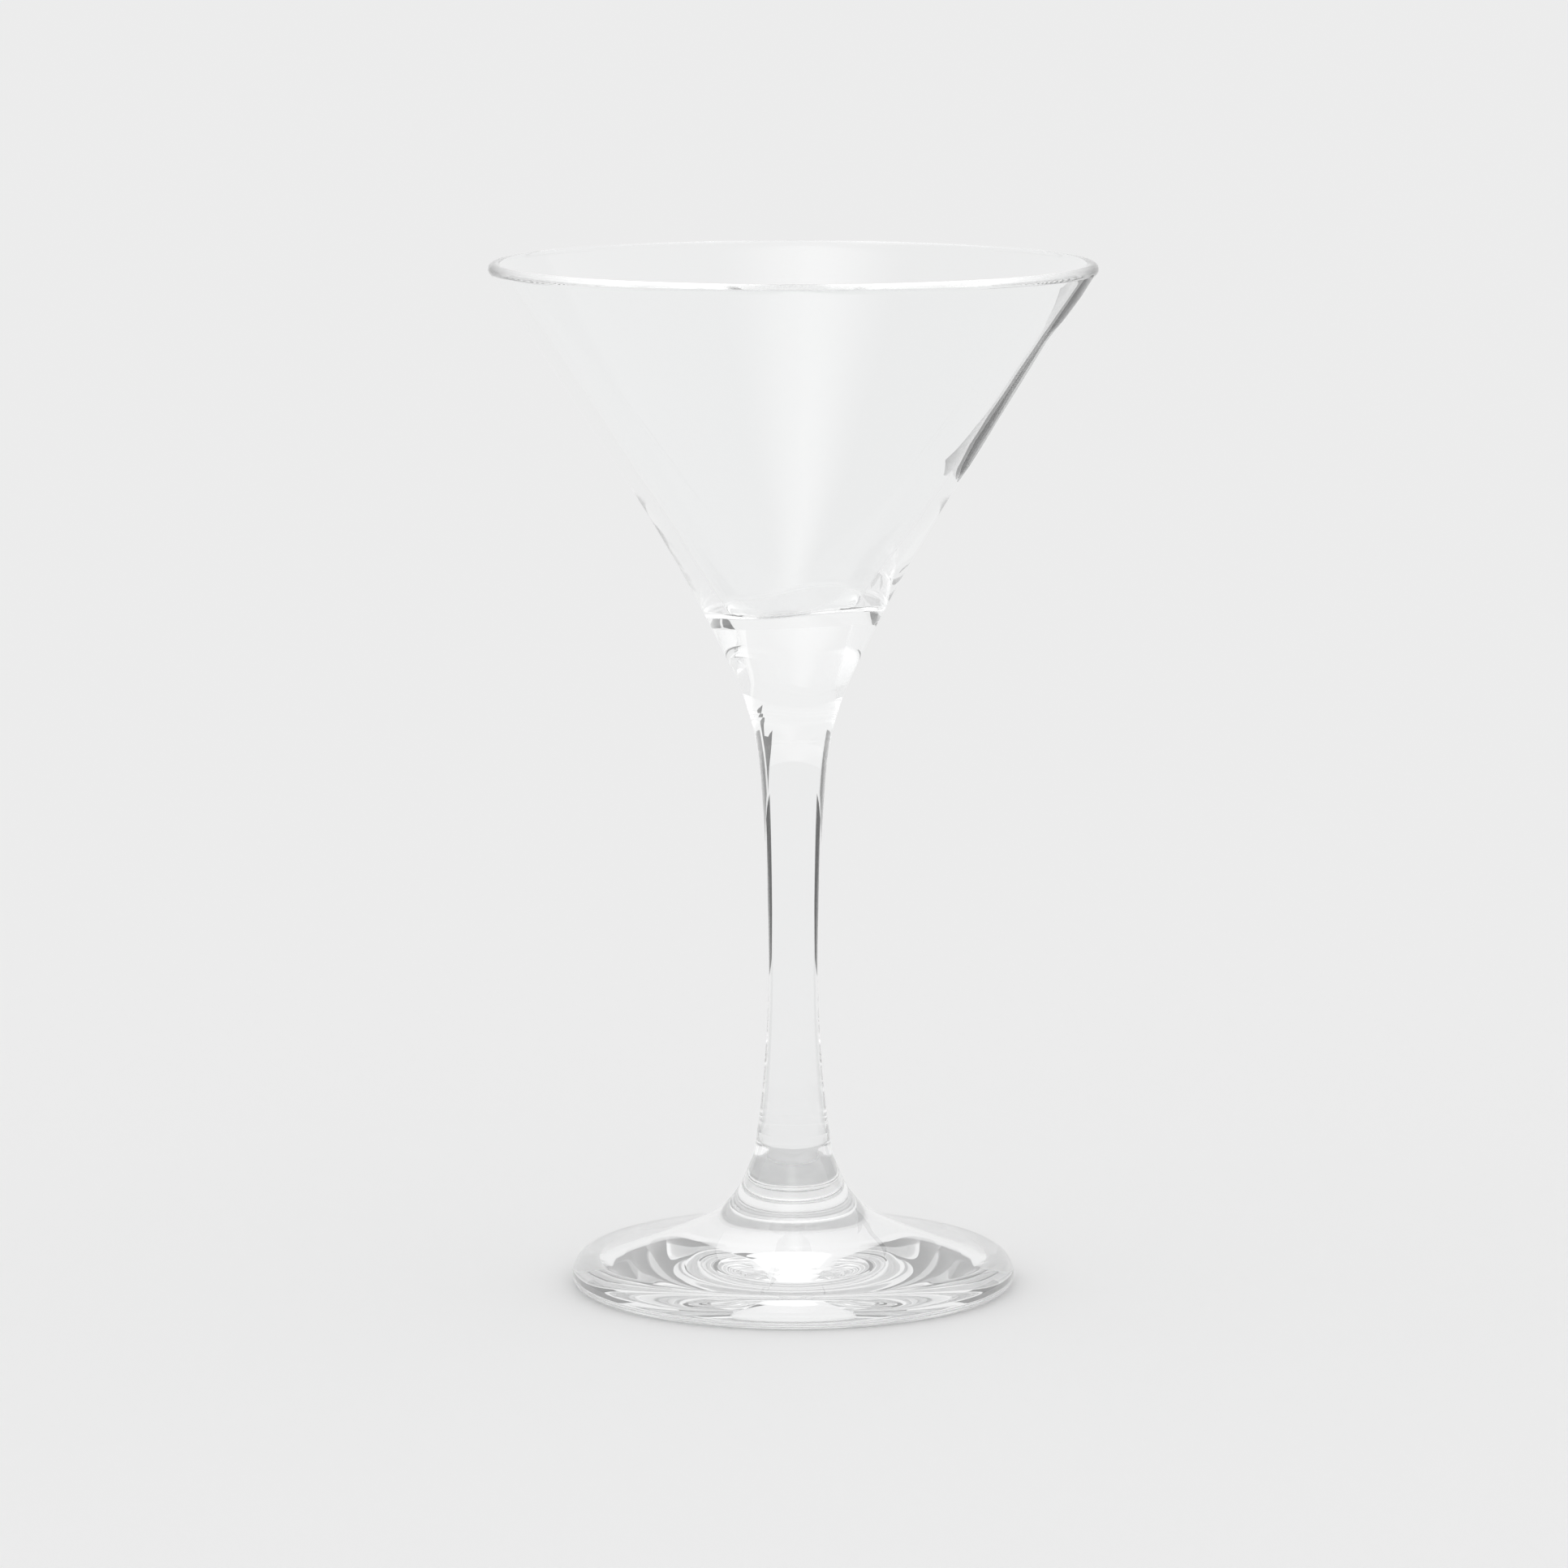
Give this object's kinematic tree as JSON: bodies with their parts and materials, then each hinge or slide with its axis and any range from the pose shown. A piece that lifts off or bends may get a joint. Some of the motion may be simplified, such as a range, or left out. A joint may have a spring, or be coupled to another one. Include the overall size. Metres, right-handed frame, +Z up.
{
  "type": "martini glass",
  "caption": "Stemmed cocktail glass: a conical bowl on a slender drawn stem, with a flared round foot and a thick clear base under the bowl's floor.",
  "frame": {"origin": "centre of the foot's contact plane, on the axis of the stem", "axes": "+Z up the axis of the glass, +X towards the high side of the bowl's tilted floor"},
  "size_m": [0.0966, 0.0966, 0.165],
  "materials": {
    "glass": "clear fire-polished soda-lime glass"
  },
  "bodies": {
    "root": {"bowl": "glass", "stem": "glass", "foot": "glass"}
  },
  "joints": []
}
